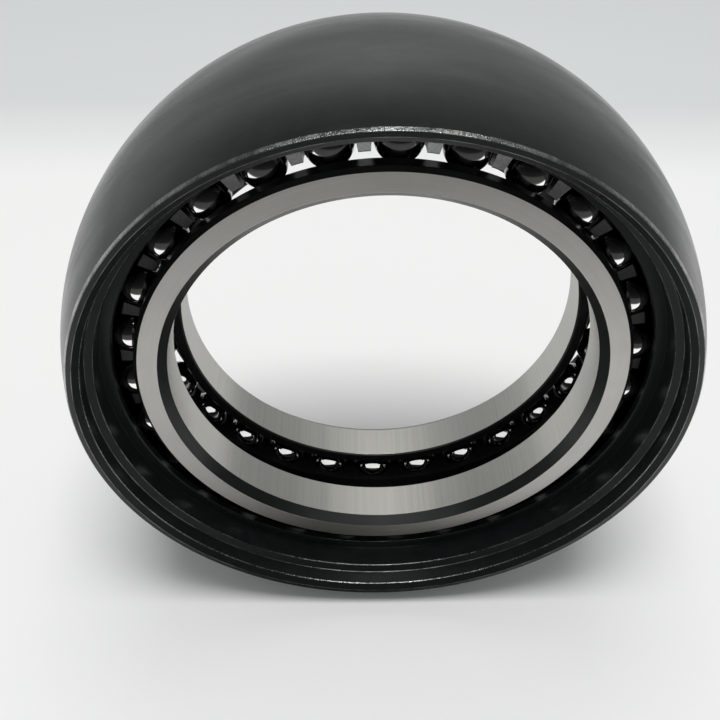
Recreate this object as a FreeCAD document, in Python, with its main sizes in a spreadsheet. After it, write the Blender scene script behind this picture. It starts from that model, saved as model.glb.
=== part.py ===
import FreeCAD, Part
import Sketcher
import math
import os

# Double row angular contact ball bearing, back-to-back, with a spherical outside
# surface on a one-piece outer ring and a split inner ring.
#
# Frame: millimetres. Origin at the centre of the sphere, which is also the centre
# of the bearing. The bearing's axis is +Y; -Y is the front, +Y the rear. +Z is up.
# The two halves mirror each other about the XZ plane, apart from the angular
# positions of the two rows of balls, which are measured from +X towards +Z.
# Every "_pos" is a distance from the middle plane along the axis.

Vector = FreeCAD.Vector

SIZES = [
    # outer ring
    ("sphere_dia", 210.0),          # spherical outside surface
    ("outer_width", 78.0),          # outer ring, face to face
    ("rim_chamfer_axial", 1.0),     # break between the sphere and the side face
    ("face_outer_dia", 194.6),      # outer edge of the side face
    ("face_inner_dia", 191.2),      # inner edge of the side face
    ("mouth_dia", 187.2),           # counterbore behind the mouth chamfer
    ("mouth_chamfer", 1.9),         # axial length of the mouth chamfer
    ("mouth_depth_pos", 31.9),      # where the counterbore ends
    ("bore_dia", 182.2),            # bore on the outward side of the ball row
    ("bore_edge_pos", 30.5),        # where that bore starts
    ("lip_face_pos", 22.4),         # outward face of the low shoulder
    ("lip_dia", 174.8),             # low shoulder beside each row
    ("lip_chamfer", 0.4),
    ("land_dia", 173.2),            # high shoulder between the two rows
    # inner rings
    ("shaft_dia", 140.0),           # bore
    ("inner_width", 17.25),         # one inner ring
    ("inner_gap", 16.5),            # open space between the two inner rings
    ("bore_chamfer_axial", 3.2),
    ("bore_chamfer_radial", 2.7),
    ("inner_edge", 0.5),            # chamfers at the inner end
    ("shoulder_dia", 160.6),        # high shoulder, at the outer end
    ("shoulder_chamfer_axial", 1.3),
    ("shoulder_chamfer_radial", 1.3),
    ("cone_start_pos", 11.9),       # where the groove ends
    ("cone_end_dia", 148.4),        # low end of the mounting cone
    # rolling elements
    ("ball_dia", 14.288),           # 9/16 inch
    ("ball_count", 27),             # in each row
    ("pitch_dia", 165.9),           # circle through the ball centres
    ("row_offset", 13.5),           # ball centres from the middle plane
    ("contact_angle", 30.0),
    ("groove_ratio", 0.52),         # groove radius over ball diameter
    ("running_gap", 0.09),          # ball to groove, along the contact line
    ("phase_front", 88.8),          # angular position of the first front ball
    ("phase_rear", -90.4),          # angular position of the first rear ball
    # cages
    ("cage_inner_dia", 160.3),
    ("cage_outer_dia", 172.2),
    ("cage_base_pos", 3.9),         # back of the closed side of the cage
    ("cage_tip_pos", 16.5),         # ends of the fingers
    ("cage_edge", 0.4),
    ("pocket_width", 15.2),         # U-shaped ball pocket, across
]

# How far the pocket cut runs clear of the cage
TIP_OVERRUN = 1
RADIAL_OVERRUN = 5
MIN_POCKET_VOLUME = 100
POCKET_VOLUME_TOLERANCE = 0.02


# ---------------------------------------------------------------- driving sizes
class Size:
    """A number together with the spreadsheet expression that drives it.
    Arithmetic on sizes works out both at once; angles are in degrees."""

    def __init__(self, value, text):
        self.value = value
        self.text = text

    def __add__(self, other):
        other = as_size(other)
        return Size(self.value + other.value, f"({self.text} + {other.text})")

    def __sub__(self, other):
        other = as_size(other)
        return Size(self.value - other.value, f"({self.text} - {other.text})")

    def __mul__(self, other):
        other = as_size(other)
        return Size(self.value * other.value, f"({self.text} * {other.text})")

    def __rmul__(self, other):
        return as_size(other) * self

    def __truediv__(self, other):
        other = as_size(other)
        return Size(self.value / other.value, f"({self.text} / {other.text})")

    def __rtruediv__(self, other):
        return as_size(other) / self

    def cos(self):
        return Size(math.cos(math.radians(self.value)), f"cos({self.text})")

    def sin(self):
        return Size(math.sin(math.radians(self.value)), f"sin({self.text})")


def as_size(item):
    return item if isinstance(item, Size) else Size(item, repr(item))


class Dims:
    """One Size per spreadsheet alias, filled in below."""


doc = FreeCAD.newDocument("angular_contact_bearing")
sheet = doc.addObject("Spreadsheet::Sheet", "dims")
dims = Dims()
for row, (alias, value) in enumerate(SIZES, start=1):
    sheet.set(f"A{row}", alias)
    sheet.set(f"B{row}", repr(value))
    sheet.setAlias(f"B{row}", alias)
    setattr(dims, alias, Size(value, "dims." + alias))
doc.recompute()

ZERO = as_size(0)
PITCH_RADIUS = dims.pitch_dia / 2

# Groove centres sit off the ball centres along the contact line, so that each
# ball touches the outer groove towards the middle of the bearing and the inner
# groove towards its outer end.
GROOVE_RADIUS = dims.groove_ratio * dims.ball_dia
GROOVE_SHIFT = GROOVE_RADIUS - dims.ball_dia / 2 - dims.running_gap
SHIFT_RADIAL = GROOVE_SHIFT * dims.contact_angle.cos()
SHIFT_AXIAL = GROOVE_SHIFT * dims.contact_angle.sin()
OUTER_GROOVE_R = PITCH_RADIUS - SHIFT_RADIAL
OUTER_GROOVE_Y = dims.row_offset + SHIFT_AXIAL
INNER_GROOVE_R = PITCH_RADIUS + SHIFT_RADIAL
INNER_GROOVE_Y = dims.row_offset - SHIFT_AXIAL

# name, side of the middle plane along Y, angular position of the first ball
ROWS = [
    ("front", -1, dims.phase_front),
    ("rear", 1, dims.phase_rear),
]


# --------------------------------------------------------------------- sketching
def half_chord(radius, distance):
    """Half the chord of a circle at a distance from its centre, as a number."""
    return (radius.value ** 2 - distance.value ** 2) ** 0.5


def mirrored(corners, side):
    return [(x, side * y) for x, y in corners]


def new_body(name):
    body = doc.addObject("PartDesign::Body", name)
    body.Label = name
    return body


def new_sketch(body, role, name):
    sketch = body.newObject("Sketcher::SketchObject", name)
    plane = next(item for item in body.Origin.OriginFeatures if item.Role == role)
    sketch.AttachmentSupport = [(plane, "")]
    sketch.MapMode = "FlatFace"
    return sketch


def draw_outline(sketch, corners, arcs):
    """Draw a closed, constrained outline.

    corners: (x, y). A Size is bound to the sheet; a plain number is only a
    start value, for a coordinate that an arc through the corner settles.
    arcs: {index of the corner where the arc starts: (centre x, centre y,
    radius, counter-clockwise)}; every other side is a straight line."""

    def drive(kind, *place, size):
        index = sketch.addConstraint(Sketcher.Constraint(kind, *place, size.value))
        name = f"driven_{index}"
        sketch.renameConstraint(index, name)
        sketch.setExpression("Constraints." + name, size.text)

    points = [Vector(as_size(x).value, as_size(y).value, 0) for x, y in corners]
    sides = []                      # geometry index, start vertex, end vertex
    for i, first in enumerate(points):
        last = points[(i + 1) % len(points)]
        if i in arcs:
            centre_x, centre_y, radius, counter_clockwise = arcs[i]
            centre = Vector(centre_x.value, centre_y.value, 0)
            angles = [math.atan2(end.y - centre.y, end.x - centre.x) for end in (first, last)]
            vertices = (1, 2)
            if not counter_clockwise:
                angles.reverse()
                vertices = (2, 1)
            circle = Part.Circle(centre, Vector(0, 0, 1), radius.value)
            geometry = sketch.addGeometry(Part.ArcOfCircle(circle, *angles), False)
            sides.append((geometry, *vertices))
        else:
            geometry = sketch.addGeometry(Part.LineSegment(first, last), False)
            sides.append((geometry, 1, 2))

    for i, (geometry, _, end) in enumerate(sides):
        following, start, _ = sides[(i + 1) % len(sides)]
        sketch.addConstraint(Sketcher.Constraint("Coincident", geometry, end, following, start))

    # Vertex 3 of an arc is its centre; (-1, 1) is the sketch origin.
    for i, (centre_x, centre_y, radius, _) in arcs.items():
        geometry = sides[i][0]
        drive("Radius", geometry, size=radius)
        if centre_x is ZERO and centre_y is ZERO:
            sketch.addConstraint(Sketcher.Constraint("Coincident", geometry, 3, -1, 1))
        else:
            drive("DistanceX", -1, 1, geometry, 3, size=centre_x)
            drive("DistanceY", -1, 1, geometry, 3, size=centre_y)

    for (x, y), (geometry, start, _) in zip(corners, sides):
        if isinstance(x, Size):
            drive("DistanceX", -1, 1, geometry, start, size=x)
        if isinstance(y, Size):
            drive("DistanceY", -1, 1, geometry, start, size=y)


def revolve(body, sketch, name):
    turning = body.newObject("PartDesign::Revolution", name)
    turning.Profile = sketch
    turning.ReferenceAxis = (sketch, ["V_Axis"])
    turning.Angle = 360
    sketch.Visibility = False
    return turning


def turned_body(name, corners, arcs):
    """A body that is one outline (radius, axial position) turned about Y."""
    body = new_body(name)
    sketch = new_sketch(body, "XY_Plane", name + "_profile")
    draw_outline(sketch, corners, arcs)
    body.Tip = revolve(body, sketch, name + "_turning")
    doc.recompute()
    return body


# -------------------------------------------------------------------- outer ring
def outer_ring():
    """From each end inwards: side face, mouth chamfer, counterbore, a chamfered
    step to the bore, the face of the low shoulder, the raceway groove, and the
    high shoulder shared by both rows."""
    face = dims.outer_width / 2
    rim = face - dims.rim_chamfer_axial
    sphere_radius = dims.sphere_dia / 2
    mouth = dims.mouth_dia / 2
    bore = dims.bore_dia / 2
    lip = dims.lip_dia / 2
    land = dims.land_dia / 2
    groove_y = OUTER_GROOVE_Y.value
    rear = [
        (half_chord(sphere_radius, rim), rim),
        (dims.face_outer_dia / 2, face),
        (dims.face_inner_dia / 2, face),
        (mouth, face - dims.mouth_chamfer),
        (mouth, dims.mouth_depth_pos),
        (bore, dims.bore_edge_pos),
        (bore, dims.lip_face_pos),
        (lip + dims.lip_chamfer, dims.lip_face_pos),
        (lip, dims.lip_face_pos - dims.lip_chamfer),
        (lip, groove_y + half_chord(GROOVE_RADIUS, lip - OUTER_GROOVE_R)),
        (land, groove_y - half_chord(GROOVE_RADIUS, land - OUTER_GROOVE_R)),
    ]
    corners = rear + mirrored(rear, -1)[::-1]
    # The outline runs from rear to front along the inside, so both grooves,
    # which bulge away from the axis, are clockwise.
    arcs = {
        len(rear) - 2: (OUTER_GROOVE_R, OUTER_GROOVE_Y, GROOVE_RADIUS, False),
        len(rear): (OUTER_GROOVE_R, -1 * OUTER_GROOVE_Y, GROOVE_RADIUS, False),
        len(corners) - 1: (ZERO, ZERO, sphere_radius, True),
    }
    return turned_body("outer_ring", corners, arcs)


# ------------------------------------------------------------------- inner rings
def inner_ring(name, side):
    """High shoulder at the outer end, a cone at the inner end over which the
    ring is pushed in past the balls."""
    near = dims.inner_gap / 2
    far = near + dims.inner_width
    bore = dims.shaft_dia / 2
    shoulder = dims.shoulder_dia / 2
    cone_end = dims.cone_end_dia / 2
    shoulder_y = INNER_GROOVE_Y.value + half_chord(GROOVE_RADIUS, INNER_GROOVE_R - shoulder)
    cone_start_r = INNER_GROOVE_R.value - half_chord(
        GROOVE_RADIUS, dims.cone_start_pos - INNER_GROOVE_Y)
    corners = [
        (bore + dims.bore_chamfer_radial, far),
        (shoulder - dims.shoulder_chamfer_radial, far),
        (shoulder, far - dims.shoulder_chamfer_axial),
        (shoulder, shoulder_y),
        (cone_start_r, dims.cone_start_pos),
        (cone_end, near + dims.inner_edge),
        (cone_end - dims.inner_edge, near),
        (bore + dims.inner_edge, near),
        (bore, near + dims.inner_edge),
        (bore, far - dims.bore_chamfer_axial),
    ]
    groove = (INNER_GROOVE_R, side * INNER_GROOVE_Y, GROOVE_RADIUS, side > 0)
    return turned_body(name, mirrored(corners, side), {3: groove})


# ------------------------------------------------------------------------- cages
def cage(name, side, phase):
    """One-piece comb cage: a closed ring on the side of the middle of the
    bearing, with straight fingers between the balls that point outwards."""
    body = new_body(name)
    edge = dims.cage_edge
    inside = dims.cage_inner_dia / 2
    outside = dims.cage_outer_dia / 2
    base = dims.cage_base_pos
    tip = dims.cage_tip_pos
    ring_sketch = new_sketch(body, "XY_Plane", name + "_ring_profile")
    draw_outline(ring_sketch, mirrored([
        (inside + edge, base),
        (outside - edge, base),
        (outside, base + edge),
        (outside, tip - edge),
        (outside - edge, tip),
        (inside + edge, tip),
        (inside, tip - edge),
        (inside, base + edge),
    ], side), {})
    ring = revolve(body, ring_sketch, name + "_ring")
    doc.recompute()

    # First ball pocket, on +X: a U cut through the ring from inside to outside,
    # round at its closed end and open at the tips of the fingers. Sketch x is
    # the bearing's Y, sketch y is its Z.
    pocket_sketch = new_sketch(body, "YZ_Plane", name + "_pocket_profile")
    pocket_radius = dims.pocket_width / 2
    row_y = side * dims.row_offset
    open_y = side * (tip + TIP_OVERRUN)
    draw_outline(pocket_sketch, [
        (row_y, pocket_radius.value),
        (open_y, pocket_radius),
        (open_y, -1 * pocket_radius),
        (row_y, -pocket_radius.value),
    ], {3: (row_y, ZERO, pocket_radius, side < 0)})
    pocket = body.newObject("PartDesign::Pocket", name + "_pocket")
    pocket.Profile = pocket_sketch
    pocket.Type = "Length"
    pocket.setExpression("Length", (outside + RADIAL_OVERRUN).text)
    pocket.Reversed = True
    pocket_sketch.Visibility = False
    doc.recompute()
    pocket_volume = ring.Shape.Volume - pocket.Shape.Volume
    if pocket_volume < MIN_POCKET_VOLUME:
        raise RuntimeError(name + ": the pocket cut nothing")

    pattern = body.newObject("PartDesign::PolarPattern", name + "_pockets")
    pattern.Originals = [pocket]
    pattern.Axis = (ring_sketch, ["V_Axis"])
    pattern.Angle = 360
    pattern.setExpression("Occurrences", dims.ball_count.text)
    body.Tip = pattern
    doc.recompute()
    expected = dims.ball_count.value * pocket_volume
    removed = ring.Shape.Volume - pattern.Shape.Volume
    if abs(removed - expected) > POCKET_VOLUME_TOLERANCE * expected:
        raise RuntimeError(name + ": the pockets were not all cut")

    # A negative turn about +Y carries +X towards +Z.
    turn = FreeCAD.Rotation(Vector(0, 1, 0), -phase.value)
    body.Placement = FreeCAD.Placement(Vector(0, 0, 0), turn)
    doc.recompute()
    return body


# ------------------------------------------------------------------------- balls
def ball(name, side, phase, index):
    """Steel ball, placed on the pitch circle of its row."""
    sphere = doc.addObject("Part::Sphere", name)
    sphere.Label = name
    angle = phase + 360 * index / dims.ball_count
    sphere.setExpression("Radius", (dims.ball_dia / 2).text)
    sphere.setExpression("Placement.Base.x", (PITCH_RADIUS * angle.cos()).text)
    sphere.setExpression("Placement.Base.y", (side * dims.row_offset).text)
    sphere.setExpression("Placement.Base.z", (PITCH_RADIUS * angle.sin()).text)
    return sphere


# ---------------------------------------------------------------------- assembly
pieces = [outer_ring()]
for row_name, side, _ in ROWS:
    pieces.append(inner_ring("inner_ring_" + row_name, side))
for row_name, side, phase in ROWS:
    pieces.append(cage("cage_" + row_name, side, phase))
for row_name, side, phase in ROWS:
    for k in range(dims.ball_count.value):
        pieces.append(ball(f"ball_{row_name}_{k + 1:02d}", side, phase, k))
doc.recompute()

# ------------------------------------------------------------- checks and export
for item in doc.Objects:
    if "Invalid" in item.State or "Error" in item.State:
        raise RuntimeError(f"{item.Name} failed: {item.State}")
for piece in pieces:
    shape = piece.Shape
    if shape.isNull() or not shape.isValid() or len(shape.Solids) != 1:
        raise RuntimeError(piece.Label + " is not one valid solid")

os.makedirs("parts", exist_ok=True)
for piece in pieces:
    piece.Shape.exportStep("parts/" + piece.Label + ".step")
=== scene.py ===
# Double-row ball bearing with a spherical outer ring, two inner rings, two rows of balls
# and two cages. Its axis is Y and its centre the origin; it stands on edge, Z up.
# The front (open to the camera) is towards -Y, the rear towards +Y.
import bpy
import math
from typing import NamedTuple, Optional
import numpy as np
from mathutils import Vector, Matrix


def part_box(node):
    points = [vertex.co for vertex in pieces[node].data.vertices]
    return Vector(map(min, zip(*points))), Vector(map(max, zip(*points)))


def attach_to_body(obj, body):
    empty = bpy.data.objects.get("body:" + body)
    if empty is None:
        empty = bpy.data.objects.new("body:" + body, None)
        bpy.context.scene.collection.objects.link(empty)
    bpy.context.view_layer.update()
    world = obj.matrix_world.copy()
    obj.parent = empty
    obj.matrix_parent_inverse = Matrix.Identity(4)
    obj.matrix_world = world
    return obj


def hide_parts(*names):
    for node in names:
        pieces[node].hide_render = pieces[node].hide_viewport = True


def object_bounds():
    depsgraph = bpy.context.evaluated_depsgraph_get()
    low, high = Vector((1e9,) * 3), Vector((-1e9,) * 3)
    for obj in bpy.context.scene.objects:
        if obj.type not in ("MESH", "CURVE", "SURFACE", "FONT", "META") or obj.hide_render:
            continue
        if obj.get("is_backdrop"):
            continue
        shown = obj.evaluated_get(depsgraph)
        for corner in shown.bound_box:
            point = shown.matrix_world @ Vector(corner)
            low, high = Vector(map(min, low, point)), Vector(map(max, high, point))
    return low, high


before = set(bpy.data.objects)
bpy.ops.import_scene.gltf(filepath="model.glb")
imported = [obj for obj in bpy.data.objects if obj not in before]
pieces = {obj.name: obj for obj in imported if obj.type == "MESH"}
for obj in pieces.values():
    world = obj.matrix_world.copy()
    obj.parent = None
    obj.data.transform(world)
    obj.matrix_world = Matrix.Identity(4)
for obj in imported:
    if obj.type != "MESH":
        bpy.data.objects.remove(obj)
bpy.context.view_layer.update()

scene = bpy.context.scene

# ------------------------------------------------------------------ sizes (mm)
# profile sizes; the places of the balls come from the frame
BALL_R = 7.144
PITCH_R = 82.95                      # radius of the circle of ball centres
ROW_Y = 13.5                         # ball row, from the middle of the bearing
CONTACT_ANGLE = math.radians(30.0)
GROOVE_R = 0.52 * 2 * BALL_R
BALL_CLEARANCE = 0.09                # between ball and groove
GROOVE_OFFSET = GROOVE_R - BALL_R - BALL_CLEARANCE   # ball centre to groove centre
OFFSET_R = GROOVE_OFFSET * math.cos(CONTACT_ANGLE)
OFFSET_Y = GROOVE_OFFSET * math.sin(CONTACT_ANGLE)
OUTER_GROOVE = (PITCH_R - OFFSET_R, ROW_Y + OFFSET_Y)   # groove centre (r, y)
INNER_GROOVE = (PITCH_R + OFFSET_R, ROW_Y - OFFSET_Y)

RING_SEGMENTS = 360
BALL_QUADS = 20                      # quads along each side of the ball's cube
FILLET_STEP = math.radians(22)       # largest turn of one step in a fillet
FILLET_SHARE = 0.42                  # most of a neighbouring edge a fillet may take
STRAIGHT_STEP = 6.0                  # straight edges are split at about this length

# outer ring
SPHERE_R = 105.0
SPHERE_EDGE_Y = 38.0
LIP_R = 87.4                         # outer edge of the groove
LAND_R = 86.6                        # land between the two grooves
OUTER_GROOVE_STEPS = 28
SPHERE_STEPS = 40

# inner rings; the near end is at the middle of the bearing
BORE_R = 70.0
NEAR_Y, FAR_Y = 8.25, 25.5
NEAR_CHAMFER = 0.5
NEAR_FACE_R = 74.2                   # outer radius of the near end, with its chamfer
FACE_INNER_R = 72.7                  # where the ground face starts
FAR_BORE_CHAMFER = 3.2               # along the axis
SHOULDER_R = 80.3
SHOULDER_CHAMFER = 1.3
GROOVE_END_Y = 11.9
INNER_GROOVE_STEPS = 24


# ------------------------------------------------------------- turned profiles
class Arc(NamedTuple):
    """Arc from a corner to the next one."""
    centre_r: float
    centre_y: float
    anticlockwise: bool
    steps: int


class Corner(NamedTuple):
    """Corner of a closed outline. material is the slot of the span that starts here,
    edge that of the fillet (None: shared between the two spans that meet).
    The two ends of an arc have no fillet."""
    r: float
    y: float
    fillet: float
    material: int
    edge: Optional[int] = None
    arc: Optional[Arc] = None


def angle_between(centre, start, end):
    start_angle = math.atan2(*(start - centre)[::-1])
    return math.atan2(*(end - centre)[::-1]) - start_angle


def arc_spans(centre, start, end, sweep, outward, materials):
    """One span for each of the materials, along the arc from start to end."""
    steps = len(materials)
    radius = np.linalg.norm(start - centre)
    first = math.atan2(*(start - centre)[::-1])
    points = [start]
    for j in range(1, steps):
        angle = first + sweep * j / steps
        points.append(centre + radius * np.array([math.cos(angle), math.sin(angle)]))
    points.append(end)
    side = outward if sweep > 0 else -outward
    normals = [side * (p - centre) / np.linalg.norm(p - centre) for p in points]
    return list(zip(points, normals, normals[1:], materials))


def outline_spans(corners, outward):
    """[(start, normal at start, normal at end, material)] for a closed outline.
    outward is +1 if the normal is to the right of the walking direction, -1 if to
    the left. Exact normals make turned faces shade cleanly."""
    count = len(corners)
    points = [np.array([c.r, c.y]) for c in corners]
    arrive, leave, centres = list(points), list(points), {}
    for i, corner in enumerate(corners):
        if corner.fillet == 0:
            continue
        back = points[i - 1] - points[i]
        ahead = points[(i + 1) % count] - points[i]
        back_length, ahead_length = np.linalg.norm(back), np.linalg.norm(ahead)
        back, ahead = back / back_length, ahead / ahead_length
        half = 0.5 * math.acos(float(back @ ahead))
        cut = min(corner.fillet / math.tan(half),
                  FILLET_SHARE * min(back_length, ahead_length))
        radius = cut * math.tan(half)
        arrive[i], leave[i] = points[i] + back * cut, points[i] + ahead * cut
        bisector = (back + ahead) / np.linalg.norm(back + ahead)
        centres[i] = points[i] + bisector * (radius / math.sin(half))

    spans = []
    for i, corner in enumerate(corners):
        if i in centres:
            sweep = angle_between(centres[i], arrive[i], leave[i])
            sweep = (sweep + math.pi) % (2 * math.pi) - math.pi
            steps = max(2, int(abs(sweep) / FILLET_STEP) + 1)
            if corner.edge is None:
                before = steps // 2
                materials = ([corners[i - 1].material] * before
                             + [corner.material] * (steps - before))
            else:
                materials = [corner.edge] * steps
            spans += arc_spans(centres[i], arrive[i], leave[i], sweep, outward, materials)
        start, end = leave[i], arrive[(i + 1) % count]
        if corner.arc:
            centre = np.array([corner.arc.centre_r, corner.arc.centre_y])
            sweep = angle_between(centre, start, end) % (2 * math.pi)
            if not corner.arc.anticlockwise:
                sweep -= 2 * math.pi
            materials = [corner.material] * corner.arc.steps
            spans += arc_spans(centre, start, end, sweep, outward, materials)
        else:
            edge = end - start
            length = np.linalg.norm(edge)
            steps = max(1, int(length / STRAIGHT_STEP))
            edge_unit = edge / length
            normal = np.array([edge_unit[1], -edge_unit[0]]) * outward
            spans += [(start + edge * j / steps, normal, normal, corner.material)
                      for j in range(steps)]
    return spans


def link_object(name, data):
    ob = bpy.data.objects.new(name, data)
    scene.collection.objects.link(ob)
    return ob


def turn(name, corners, outward, materials):
    """Revolves the outline about the Y axis into one closed mesh."""
    spans = outline_spans(corners, outward)
    count = len(spans)
    angles = np.arange(RING_SEGMENTS) * 2 * math.pi / RING_SEGMENTS
    cosines, sines = np.cos(angles), np.sin(angles)

    def spin(pairs):
        """(r, y) pairs carried round the axis: [segment, span, xyz]"""
        spun = np.empty((RING_SEGMENTS, count, 3))
        spun[:, :, 0] = cosines[:, None] * pairs[None, :, 0]
        spun[:, :, 1] = pairs[None, :, 1]
        spun[:, :, 2] = sines[:, None] * pairs[None, :, 0]
        return spun

    starts, start_normals, end_normals = (
        spin(np.array([span[column] for span in spans])) for column in range(3))
    verts = (spin(np.array([span[0] for span in spans]) / 1000.0)).reshape(-1, 3)

    segment = np.arange(RING_SEGMENTS)[:, None]
    place = np.arange(count)[None, :]
    next_segment, next_place = (segment + 1) % RING_SEGMENTS, (place + 1) % count
    quads = np.stack([segment * count + place, segment * count + next_place,
                      next_segment * count + next_place, next_segment * count + place],
                     -1).reshape(-1, 4)
    after = next_segment[:, 0]
    normals = np.stack([start_normals, end_normals, end_normals[after],
                        start_normals[after]], 2).reshape(-1, 3)
    # the first face tells whether the winding agrees with the normals
    first = quads[0]
    facing = np.cross(verts[first[1]] - verts[first[0]], verts[first[3]] - verts[first[0]])
    if float(facing @ normals[0]) < 0:
        quads = quads[:, ::-1]
        normals = normals.reshape(-1, 4, 3)[:, ::-1].reshape(-1, 3)

    mesh = bpy.data.meshes.new(name)
    mesh.from_pydata(verts.tolist(), [], quads.tolist())
    mesh.polygons.foreach_set("use_smooth", [True] * len(mesh.polygons))
    for material in materials:
        mesh.materials.append(material)
    slots = np.tile(np.array([span[3] for span in spans]), RING_SEGMENTS)
    mesh.polygons.foreach_set("material_index", slots.tolist())
    mesh.update()
    mesh.normals_split_custom_set(normals.tolist())
    return link_object(name, mesh)


def ball_mesh(name, radius, quads_per_side, material):
    """Sphere from a cube of quads: even quads, no poles."""
    verts, index, faces = [], {}, []

    def vert(cube_point):
        key = tuple(np.round(cube_point, 6))
        if key not in index:
            # the tangent spaces the points evenly over the sphere
            spread = np.tan(np.array(cube_point) * math.pi / 4)
            index[key] = len(verts)
            verts.append(tuple(spread / np.linalg.norm(spread)))
        return index[key]

    steps = np.linspace(-1, 1, quads_per_side + 1)
    for axis in range(3):
        for side in (-1.0, 1.0):
            for i in range(quads_per_side):
                for j in range(quads_per_side):
                    quad = []
                    for di, dj in ((0, 0), (1, 0), (1, 1), (0, 1)):
                        point = [0, 0, 0]
                        point[axis] = side
                        point[(axis + 1) % 3] = steps[i + di]
                        point[(axis + 2) % 3] = steps[j + dj]
                        quad.append(vert(point))
                    faces.append(quad if side > 0 else quad[::-1])
    unit = np.array(verts)
    mesh = bpy.data.meshes.new(name)
    mesh.from_pydata((unit * radius).tolist(), [], faces)
    mesh.polygons.foreach_set("use_smooth", [True] * len(mesh.polygons))
    mesh.materials.append(material)
    mesh.update()
    mesh.normals_split_custom_set_from_vertices(unit.tolist())
    return mesh


# ---------------------------------------------------------------- shader graphs
class Graph:
    """Builds the node tree of a material or world. A value is a number, an RGB
    tuple or another node's output."""

    def __init__(self, owner):
        owner.use_nodes = True
        self.owner, self.tree = owner, owner.node_tree
        self.tree.nodes.clear()

    def node(self, kind, inputs, **settings):
        """inputs: {socket name or number: value}"""
        node = self.tree.nodes.new("ShaderNode" + kind)
        for name, value in settings.items():
            setattr(node, name, value)
        for key, value in inputs.items():
            if isinstance(value, bpy.types.NodeSocket):
                self.tree.links.new(value, node.inputs[key])
            elif isinstance(value, tuple):
                node.inputs[key].default_value = value + (1.0,)
            else:
                node.inputs[key].default_value = value
        return node

    def shader(self, kind, inputs):
        return self.node(kind, inputs).outputs[0]

    def by_glossy_ray(self, otherwise, glossy):
        """one shader for glossy rays, the other for the rest"""
        is_glossy = self.node("LightPath", {}).outputs["Is Glossy Ray"]
        return self.shader("MixShader", {0: is_glossy, 1: otherwise, 2: glossy})

    def finish(self, shader, kind="OutputMaterial"):
        self.node(kind, {0: shader})
        return self.owner

    def math(self, operation, *values):
        return self.node("Math", dict(enumerate(values)), operation=operation).outputs[0]

    def square_sum(self, a, b):
        return self.math("ADD", self.math("MULTIPLY", a, a), self.math("MULTIPLY", b, b))

    def bell(self, a, b, height):
        """height * exp(-(a^2 + b^2))"""
        fall = self.math("MULTIPLY", self.square_sum(a, b), -1.0)
        return self.math("MULTIPLY", self.math("EXPONENT", fall), height)

    def coords(self, kind="Object"):
        return self.node("TexCoord", {}).outputs[kind]

    def xyz(self, kind="Object"):
        return self.node("SeparateXYZ", {0: self.coords(kind)}).outputs

    def combine(self, x, y, z):
        return self.node("CombineXYZ", {0: x, 1: y, 2: z}).outputs[0]

    def turned_coords(self, around, outward, along):
        """Coordinates scaled around the Y axis, away from it and along it. The
        angle goes in as a circle so that the pattern closes."""
        x, y, z = self.xyz()
        angle = self.math("ARCTAN2", z, x)
        radius = self.math("SQRT", self.square_sum(x, z))
        return self.combine(
            self.math("MULTIPLY", self.math("COSINE", angle), around),
            self.math("MULTIPLY", self.math("SINE", angle), around),
            self.math("ADD", self.math("MULTIPLY", radius, outward),
                      self.math("MULTIPLY", y, along)))

    def noise(self, vector, scale=1.0, detail=3.0, rough=0.6):
        return self.node("TexNoise", {"Scale": scale, "Detail": detail, "Roughness": rough,
                                      "Vector": vector}).outputs["Fac"]

    def remap(self, value, span, to=(0.0, 1.0)):
        return self.node("MapRange", {0: value, 1: span[0], 2: span[1],
                                      3: to[0], 4: to[1]}).outputs[0]

    def mix(self, factor, low, high, blend="MIX"):
        """colour: low at factor 0, high at factor 1"""
        return self.node("Mix", {0: factor, 6: low, 7: high},
                         data_type="RGBA", blend_type=blend).outputs[2]

    def bump(self, height, strength, distance, over=None):
        """over: the normal of a bump beneath this one"""
        inputs = {"Strength": strength, "Distance": distance, "Height": height}
        if over is not None:
            inputs["Normal"] = over
        return self.node("Bump", inputs).outputs[0]

    def tangent(self):
        """tangent round the bearing's axis"""
        return self.node("Tangent", {}, direction_type="RADIAL", axis="Y").outputs[0]


def material_graph(name):
    return Graph(bpy.data.materials.new(name))


# ------------------------------------------------------------------- materials
def black_oxide(name, rough, base, oil, line_depth=1.0, ior=1.58):
    """Black oxide on turned and ground steel under a film of oil."""
    g = material_graph(name)
    lines = g.noise(g.turned_coords(around=0.6, outward=3000.0, along=3000.0), detail=2.0)
    coords = g.coords()
    cloud = g.noise(coords, scale=26.0, detail=4.0, rough=0.55)
    mottle = g.noise(coords, scale=210.0)
    streak = g.noise(g.turned_coords(around=3.2, outward=240.0, along=240.0), rough=0.55)
    film = g.noise(g.turned_coords(around=2.2, outward=0.0, along=60.0))
    roughness = g.math("ADD",
                       g.remap(cloud, span=(0.3, 0.7), to=(rough - 0.05, rough + 0.07)),
                       g.remap(streak, span=(0.3, 0.7), to=(-0.04, 0.05)))
    colour = g.mix(g.remap(mottle, span=(0.35, 0.7)),
                   low=base, high=tuple(c * 1.5 for c in base))
    greener = (base[0] * 0.7, base[1] * 1.15, base[2] * 1.1)
    colour = g.mix(g.remap(cloud, span=(0.35, 0.75), to=(0.0, 0.5)), low=colour, high=greener)
    relief = g.bump(lines, strength=0.10 * line_depth, distance=0.00002)
    return g.finish(g.shader("BsdfPrincipled", {
        "Base Color": colour,
        "Roughness": roughness,
        "Metallic": 0.0,
        "IOR": ior,
        "Coat Weight": g.remap(film, span=(0.35, 0.68), to=(oil * 0.35, oil * 1.6)),
        "Coat Roughness": 0.16,
        "Coat IOR": 1.47,
        "Normal": g.bump(mottle, strength=0.05, distance=0.0001, over=relief)}))


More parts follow.
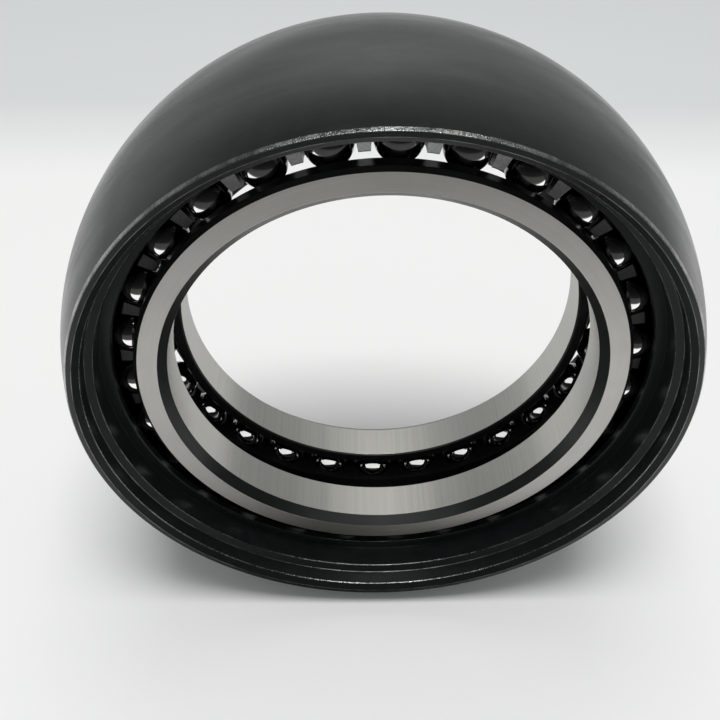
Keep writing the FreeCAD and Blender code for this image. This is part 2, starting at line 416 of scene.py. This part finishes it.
def worn_edge(name, base, rough, grit, dark_share=0.30):
    """Corner where the black has rubbed through to bare steel, in small bright
    facets with darker patches between them."""
    g = material_graph(name)
    coords = g.coords()
    patch = g.noise(coords, scale=95.0)
    spark = g.noise(coords, scale=620.0, detail=4.0, rough=0.7)
    facet = g.noise(coords, scale=1500.0, rough=0.7)
    dark = base * dark_share
    relief = g.bump(spark, strength=0.55 * grit, distance=0.0006)
    return g.finish(g.shader("BsdfPrincipled", {
        "Base Color": g.mix(g.remap(patch, span=(0.38, 0.62)),
                            low=(dark, dark * 1.02, dark * 1.02),
                            high=(base, base, base * 0.98)),
        "Metallic": 1.0,
        "Roughness": g.remap(spark, span=(0.35, 0.65), to=(rough + 0.12, rough - 0.10)),
        "Normal": g.bump(facet, strength=0.25 * grit, distance=0.0002, over=relief)}))


def ground_face(name):
    """Ground side face: fine rings round the axis, warm grey."""
    g = material_graph(name)
    rings = g.noise(g.turned_coords(around=0.9, outward=5200.0, along=0.0), rough=0.7)
    broken_rings = g.noise(g.turned_coords(around=5.0, outward=900.0, along=0.0))
    cloud = g.noise(g.coords(), scale=60.0, rough=0.5)
    colour = g.mix(g.remap(rings, span=(0.3, 0.7)),
                   low=(0.82, 0.80, 0.755), high=(0.92, 0.90, 0.85))
    colour = g.mix(g.remap(cloud, span=(0.35, 0.7), to=(0.0, 0.3)),
                   low=colour, high=(0.70, 0.685, 0.65))
    return g.finish(g.shader("BsdfPrincipled", {
        "Base Color": colour,
        "Metallic": 1.0,
        "Roughness": g.remap(broken_rings, span=(0.25, 0.75), to=(0.30, 0.38)),
        "Anisotropic": 0.75,
        "Tangent": g.tangent(),
        "Normal": g.bump(rings, strength=0.08, distance=0.00001)}))


def ground_bore(name):
    """Ground bore: fine lines along the axis crossed by faint rings."""
    g = material_graph(name)
    line_density, line_stretch, ring_density = 60.0, 10.0, 5200.0
    x, y, z = g.xyz()
    angle = g.math("ARCTAN2", z, x)
    cosine, sine = g.math("COSINE", angle), g.math("SINE", angle)
    axial = g.noise(g.combine(g.math("MULTIPLY", cosine, line_density),
                              g.math("MULTIPLY", sine, line_density),
                              g.math("MULTIPLY", y, line_stretch)), detail=2.0, rough=0.5)
    rings = g.noise(g.combine(cosine, sine, g.math("MULTIPLY", y, ring_density)), detail=2.0)
    return g.finish(g.shader("BsdfPrincipled", {
        "Base Color": g.mix(g.remap(axial, span=(0.3, 0.7)),
                            low=(0.51, 0.505, 0.477), high=(0.59, 0.58, 0.543)),
        "Metallic": 1.0,
        "Roughness": g.remap(axial, span=(0.3, 0.7), to=(0.20, 0.24)),
        "Anisotropic": 0.94,
        "Anisotropic Rotation": 0.25,
        "Tangent": g.tangent(),
        "Normal": g.bump(rings, strength=0.04, distance=0.00001)}))


def honed_raceway_painted_dark(name):
    """Honed raceway groove: smooth, with fine lines round the axis. Its steel is painted near
    black, as painted shade for the dark inside of the bearing.
    """
    g = material_graph(name)
    lines = g.noise(g.turned_coords(around=0.8, outward=6000.0, along=6000.0), detail=2.0)
    # painted shade: the steel is near black
    return g.finish(g.shader("BsdfPrincipled", {
        "Base Color": g.mix(g.remap(lines, span=(0.3, 0.7)),
                            low=(0.030, 0.031, 0.033), high=(0.06, 0.06, 0.062)),
        "Metallic": 1.0,
        "Roughness": g.remap(lines, span=(0.3, 0.7), to=(0.10, 0.18)),
        "Normal": g.bump(lines, strength=0.04, distance=0.00001)}))


def lapped_steel(name):
    """Lapped ball: mirror steel with smears and a very fine relief, painted dark (0.27 to
    0.32) as painted shade for the dark inside of the bearing that the balls reflect.
    """
    g = material_graph(name)
    coords = g.coords()
    fine = g.noise(coords, scale=900.0)
    smear = g.noise(coords, scale=120.0, rough=0.5)
    # painted shade: the base is far darker than lapped steel
    return g.finish(g.shader("BsdfPrincipled", {
        "Base Color": g.mix(g.remap(smear, span=(0.35, 0.7)),
                            low=(0.27, 0.268, 0.266), high=(0.32, 0.318, 0.313)),
        "Metallic": 1.0,
        "Roughness": g.remap(smear, span=(0.35, 0.75), to=(0.02, 0.06)),
        "Normal": g.bump(fine, strength=0.015, distance=0.00001)}))


def phosphated_steel(name):
    """Phosphated steel cage: satin, finely grained, near-black grey. Partly its own dark
    colour, partly painted shade: the base is darkened further for the cage's sides and rear.
    """
    g = material_graph(name)
    coords = g.coords()
    grain = g.noise(coords, scale=1400.0, detail=4.0)
    cloud = g.noise(coords, scale=90.0, rough=0.5)
    # own dark grey, darkened further as painted shade
    colour = g.mix(g.remap(grain, span=(0.35, 0.7)),
                   low=(0.045, 0.045, 0.047), high=(0.080, 0.080, 0.078))
    colour = g.mix(g.remap(cloud, span=(0.35, 0.7), to=(0.0, 0.5)),
                   low=colour, high=(0.040, 0.041, 0.043))
    return g.finish(g.shader("BsdfPrincipled", {
        "Base Color": colour,
        "Metallic": 0.9,
        "Roughness": g.remap(cloud, span=(0.3, 0.7), to=(0.30, 0.40)),
        "Normal": g.bump(grain, strength=0.10, distance=0.00003)}))


outer_black = black_oxide("outer_ring_black_oxide", rough=0.26,
                          base=(0.0062, 0.0072, 0.0070), oil=0.30)
inner_black = black_oxide("inner_ring_black_oxide", rough=0.32,
                          base=(0.0065, 0.0068, 0.0072), oil=0.2)
# painted shade: the mouth is a less reflective copy of the black oxide (thinner oil, lower
# IOR), dimmed as the recess is shaded; its turning lines are deeper
mouth_black_painted_shade = black_oxide("outer_ring_turned_mouth_painted_shade", rough=0.30,
                          base=(0.0066, 0.0074, 0.0076), oil=0.08, line_depth=2.0, ior=1.36)
face_steel = ground_face("inner_ring_ground_face")
bore_steel = ground_bore("inner_ring_ground_bore")
raceway_painted_dark = honed_raceway_painted_dark("raceway_honed_painted_shade")
ball_steel_painted_dark = lapped_steel("ball_lapped_steel_painted_shade")
cage_steel_painted_dark = phosphated_steel("cage_phosphated_steel_painted_shade")
edge_bright = worn_edge("rubbed_edge_steel", base=0.64, rough=0.27, grit=0.75, dark_share=0.45)
edge_fine = worn_edge("rubbed_edge_fine", base=0.36, rough=0.34, grit=0.6)
edge_inner = worn_edge("rubbed_edge_inner", base=0.36, rough=0.30, grit=0.8)

# material slots; the inner rings have the first four, the outer ring all of them
BLACK, FACE, BORE, RACE, EDGE, EDGE_FINE, EDGE_INNER, MOUTH = range(8)
inner_materials = [inner_black, face_steel, bore_steel, raceway_painted_dark]
outer_materials = [outer_black, face_steel, bore_steel, raceway_painted_dark,
                   edge_bright, edge_fine, edge_inner, mouth_black_painted_shade]


# ------------------------------------------------------------- rings and balls
def attach(ob, piece):
    """The object moves with the CAD piece and stands in for it."""
    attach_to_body(ob, piece)
    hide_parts(piece)


def groove_y(groove, r, side):
    """y of the groove's circle at radius r, above (+1) or below (-1) its centre"""
    return groove[1] + side * math.sqrt(GROOVE_R ** 2 - (r - groove[0]) ** 2)


def outer_outline():
    sphere_edge_r = math.sqrt(SPHERE_R ** 2 - SPHERE_EDGE_Y ** 2)
    groove_r, groove_centre_y = OUTER_GROOVE
    # rear half: r, y, fillet, material of the span to the next point, of the fillet
    half = [
        (sphere_edge_r, SPHERE_EDGE_Y, 0.0, EDGE, None),
        (97.3, 39.0, 0.30, BLACK, EDGE),
        (95.6, 39.0, 0.35, MOUTH, EDGE_FINE),
        (93.6, 37.1, 0.55, MOUTH, EDGE),
        (93.6, 31.9, 0.35, MOUTH, EDGE_FINE),
        (91.1, 30.5, 0.40, MOUTH, EDGE_INNER),
        (91.1, 22.4, 0.15, MOUTH, None),
        (87.8, 22.4, 0.15, MOUTH, None),
        (LIP_R, 22.0, 0.15, MOUTH, EDGE_FINE),
        (LIP_R, groove_y(OUTER_GROOVE, LIP_R, 1), 0.0, RACE, None),
        (LAND_R, groove_y(OUTER_GROOVE, LAND_R, -1), 0.0, MOUTH, None)]

    def groove_arc(span, side):
        if span != RACE:
            return None
        return Arc(groove_r, side * groove_centre_y, False, OUTER_GROOVE_STEPS)

    corners = [Corner(*row, groove_arc(row[3], 1)) for row in half]
    # front half, walked back: each span has the material of its mirror image
    for i in range(len(half) - 1, 0, -1):
        r, y, fillet, _, edge = half[i]
        span = half[i - 1][3]
        corners.append(Corner(r, -y, fillet, span, edge, groove_arc(span, -1)))
    corners.append(Corner(sphere_edge_r, -SPHERE_EDGE_Y, 0.0, BLACK,
                          arc=Arc(0.0, 0.0, True, SPHERE_STEPS)))
    return corners


def inner_outline(side):
    """side: -1 for the front ring, +1 for the rear one"""
    groove_r, groove_centre_y = INNER_GROOVE
    shoulder_y = groove_y(INNER_GROOVE, SHOULDER_R, 1)
    groove_end_r = groove_r - math.sqrt(GROOVE_R ** 2 - (GROOVE_END_Y - groove_centre_y) ** 2)
    arc = Arc(groove_r, side * groove_centre_y, side > 0, INNER_GROOVE_STEPS)
    chamfer_y = NEAR_Y + NEAR_CHAMFER
    return [
        Corner(FACE_INNER_R, side * FAR_Y, 0.2, FACE),
        Corner(SHOULDER_R - SHOULDER_CHAMFER, side * FAR_Y, 0.2, BLACK),
        Corner(SHOULDER_R, side * (FAR_Y - SHOULDER_CHAMFER), 0.35, BLACK),
        Corner(SHOULDER_R, side * shoulder_y, 0.0, RACE, arc=arc),
        Corner(groove_end_r, side * GROOVE_END_Y, 0.0, BLACK),
        Corner(NEAR_FACE_R, side * chamfer_y, 0.2, BLACK),
        Corner(NEAR_FACE_R - NEAR_CHAMFER, side * NEAR_Y, 0.2, BLACK),
        Corner(BORE_R + NEAR_CHAMFER, side * NEAR_Y, 0.15, BLACK),
        Corner(BORE_R, side * chamfer_y, 0.15, BORE),
        Corner(BORE_R, side * (FAR_Y - FAR_BORE_CHAMFER), 0.3, BLACK)]


outer_body = turn("outer_ring_body", outer_outline(), 1, outer_materials)
attach(outer_body, "outer_ring")

inner_bodies = []
for piece, side in (("inner_ring_front", -1), ("inner_ring_rear", 1)):
    body = turn(piece + "_body", inner_outline(side), -side, inner_materials)
    attach(body, piece)
    inner_bodies.append(body)

ball_data = ball_mesh("ball_lapped", BALL_R / 1000.0, BALL_QUADS, ball_steel_painted_dark)
balls = []
for piece in sorted(pieces):
    if piece.startswith("ball_"):
        lo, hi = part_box(piece)
        ball = link_object(piece + "_lapped", ball_data)
        ball.location = (lo + hi) / 2
        attach(ball, piece)
        balls.append(ball)
front_balls = [ball for ball in balls if ball.name.startswith("ball_front")]
rear_balls = [ball for ball in balls if ball.name.startswith("ball_rear")]

for piece in ("cage_front", "cage_rear"):
    cage_materials = pieces[piece].data.materials
    cage_materials.clear()
    cage_materials.append(cage_steel_painted_dark)


# ------------------------------------------------------------- floor and world
def floor_material():
    """Matt white sweep. Seen in the part's polish it carries painted shade: darker towards the
    front, with a painted shadow just before the part."""
    g = material_graph("pale_floor")
    x, y, _ = g.xyz()
    far = g.remap(y, span=(0.30, 0.42))
    # painted light: the floor behind the part, left of x = 0.12 m, is a little lighter to lift
    # the shade there
    middle = g.math("MULTIPLY", g.remap(y, span=(0.03, 0.09)),
                    g.remap(x, span=(0.12, 0.24), to=(1.0, 0.0)))
    colour = g.mix(middle, low=(0.865, 0.87, 0.865), high=(0.875, 0.875, 0.87))
    colour = g.mix(far, low=colour, high=(0.68, 0.70, 0.70))
    matt = g.shader("BsdfPrincipled", {
        "Base Color": colour, "Roughness": 0.9, "Specular IOR Level": 0.1})
    # in reflections: painted shade, darker towards the front, and a painted shadow oval just
    # before the part
    reflected_shade = g.remap(y, span=(-0.30, -0.13), to=(0.16, 0.70))
    oval_x, oval_y = -0.020, -0.055
    oval_width, oval_depth, painted_shadow_strength = 0.10, 0.065, 0.92
    across = g.math("DIVIDE", g.math("ADD", x, -oval_x), oval_width)
    along = g.math("DIVIDE", g.math("ADD", y, -oval_y), oval_depth)
    outside_painted_shadow = g.math("SUBTRACT", 1.0, g.bell(across, along, height=painted_shadow_strength))
    reflected_shade = g.math("MULTIPLY", reflected_shade, outside_painted_shadow)
    reflected = g.shader("BsdfDiffuse", {
        "Color": g.mix(reflected_shade, low=(0.0, 0.0, 0.0), high=(1.0, 1.0, 1.0))})
    return g.finish(g.by_glossy_ray(matt, reflected))


def build_floor(size=8.0, z=-0.1052):
    half = size / 2
    mesh = bpy.data.meshes.new("floor")
    mesh.from_pydata([(-half, -half, 0), (half, -half, 0), (half, half, 0), (-half, half, 0)],
                     [], [(0, 1, 2, 3)])
    mesh.materials.append(floor_material())
    floor = link_object("floor", mesh)
    floor.location = (0, 0, z)
    return floor


def build_world():
    """Even white tent for the matt surfaces; polished ones see a soft bright
    band behind and above the part, a grey horizon and a dark room in front."""
    world = bpy.data.worlds.new("studio")
    g = Graph(world)
    x, y, z = g.xyz("Generated")
    degrees = 180.0 / math.pi
    elevation = g.math("MULTIPLY", g.math("ARCSINE", z), degrees)
    # angle about X, up from the horizon behind the part
    pitch = g.math("MULTIPLY", g.math("ARCTAN2", z, y), degrees)
    # band: a rounded window, lower towards its ends
    band_pitch, band_droop, band_height = 40.0, 20.0, 19.0   # degrees
    band_width, band_power = 0.66, 0.66
    droop = g.math("MULTIPLY", g.math("MULTIPLY", x, x), band_droop)
    centre = g.math("SUBTRACT", band_pitch, droop)
    upward = g.math("DIVIDE", g.math("SUBTRACT", pitch, centre), band_height)
    sideways = g.math("DIVIDE", g.math("ABSOLUTE", x), band_width)
    band = g.math("MULTIPLY", g.bell(upward, sideways, height=band_power),
                  g.remap(pitch, span=(52.0, 74.0), to=(1.0, 0.45)))
    # horizon: fades with elevation, dimmer to the right and in front
    fade_degrees, horizon_power, base_power, most_power = 20.0, 0.42, 0.10, 0.6
    fade = g.math("EXPONENT", g.math("DIVIDE", elevation, -fade_degrees))
    horizon = g.math("ADD", g.math("MULTIPLY", fade, horizon_power), base_power)
    horizon = g.math("MINIMUM", horizon, most_power)
    horizon = g.math("MULTIPLY", horizon, g.remap(x, span=(0.50, 0.90), to=(1.0, 0.66)))
    horizon = g.math("MULTIPLY", horizon, g.remap(y, span=(-0.40, 0.15), to=(0.08, 1.0)))
    tint = g.mix(1.0, low=(0.985, 1.0, 1.0), high=(1.0, 1.0, 1.0), blend="MULTIPLY")
    glossy = g.shader("Background", {"Color": tint, "Strength": g.math("ADD", band, horizon)})
    matt = g.shader("Background", {"Color": (0.985, 0.995, 1.0), "Strength": 0.38})
    return g.finish(g.by_glossy_ray(matt, glossy), "OutputWorld")


build_floor()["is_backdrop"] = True
scene.world = build_world()


# ---------------------------------------------------------------------- lights
def place_light(data, location, target, only=None, hidden=()):
    """only: the light shines on these objects alone; hidden: rays that miss it"""
    light = link_object(data.name, data)
    light.location = location
    light.rotation_mode = "QUATERNION"
    light.rotation_quaternion = (Vector(target) - Vector(location)).to_track_quat("-Z", "Y")
    for ray in hidden:
        setattr(light, "visible_" + ray, False)
    if only:
        group = bpy.data.collections.new(light.name + "_lit")
        for ob in only:
            group.objects.link(ob)
        light.light_linking.receiver_collection = group


def area(name, location, size, power, target=(0, 0, 0), colour=(1, 1, 1), **limits):
    """size: (width, height)"""
    data = bpy.data.lights.new(name, "AREA")
    data.energy = power
    data.color = colour
    data.shape = "RECTANGLE"
    data.size, data.size_y = size
    place_light(data, location, target, **limits)


# softboxes above the part: front, middle and back; not seen in the polish
for name, location, size, power in (
        ("softbox_front", (0.0, -0.45, 2.3), (1.2, 0.7), 30.0),
        ("softbox_top", (0.0, 0.05, 2.4), (1.6, 1.6), 8.5),
        ("softbox_back", (0.0, 1.00, 2.1), (1.2, 1.2), 5.5)):
    area(name, location, size, power, target=(0, 0, -0.1), colour=(1.0, 1.0, 0.995),
         hidden=["glossy"])
# bright core of the front softbox, seen only in polish: picks out the rubbed edges
area("softbox_core", (0.0, -0.78, 1.84), size=(0.9, 0.4), power=13.0,
     hidden=["diffuse"], only=[outer_body] + inner_bodies)
# clear window behind with a pane at each side, reflected in the two bores
for name, dx, width, power, colour in (
        ("window_back", 0.0, 1.40, 1.05, (1.0, 0.99, 0.95)),
        ("window_side_a", -0.985, 0.45, 0.15, (1.0, 1.0, 0.98)),
        ("window_side_b", 0.985, 0.45, 0.15, (1.0, 1.0, 0.98))):
    area(name, (0.02 + dx, 0.80, 1.29), (width, 0.50), power,
         target=(0.05 + dx, 0, -0.03), colour=colour, only=inner_bodies)
# low window in front, reflected in the bores
area("window_front", (0.0, -1.22, 0.70), size=(1.6, 0.6), power=1.5,
     colour=(1.0, 1.0, 0.98), hidden=["diffuse"], only=inner_bodies)
# pale bench in front, reflected in the lower part of the front row of balls
area("bench_front", (0.0, -0.135, -0.1040), size=(0.8, 0.15), power=0.95,
     target=(0, -0.135, 1.0), hidden=["camera", "diffuse"], only=front_balls)
# narrow beam on the finger ends at the top of the front cage
beam = bpy.data.lights.new("beam_fingers", "SPOT")
beam.energy = 105.0
beam.spot_size = math.radians(9.0)
beam.spot_blend = 0.7
beam.shadow_soft_size = 0.03
place_light(beam, (0.0, -0.8, 0.12), target=(0, -0.0165, 0.083), only=[pieces["cage_front"]])
# open front of the tent, reflected in the rear row of balls
area("tent_front", (0.0, -0.26, 0.37), size=(1.4, 0.45), power=5.2, only=rear_balls)


# ---------------------------------------------------------------------- camera
def build_camera():
    """In front of the part and above it, looking back and down."""
    data = bpy.data.cameras.new("camera")
    data.lens = 41.52
    data.sensor_width = 36.0
    data.shift_x = -0.00724
    data.shift_y = -0.00546
    data.clip_start, data.clip_end = 0.01, 20.0
    camera = link_object("camera", data)
    right = Vector((0.99956, -0.0221, 0.0196)).normalized()
    forward = Vector((0.0295, 0.7482, -0.6628)).normalized()
    up = right.cross(forward).normalized()
    right = forward.cross(up).normalized()   # square to the other two
    rotation = Matrix((right, up, -forward)).transposed().to_4x4()
    camera.matrix_world = Matrix.Translation(Vector((-0.0141, -0.2205, 0.1871))) @ rotation
    return camera


scene.camera = build_camera()
scene.view_settings.view_transform = "Standard"
scene.view_settings.look = "None"
scene.view_settings.exposure = 0.0
scene.view_settings.gamma = 1.0

lo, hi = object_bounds()
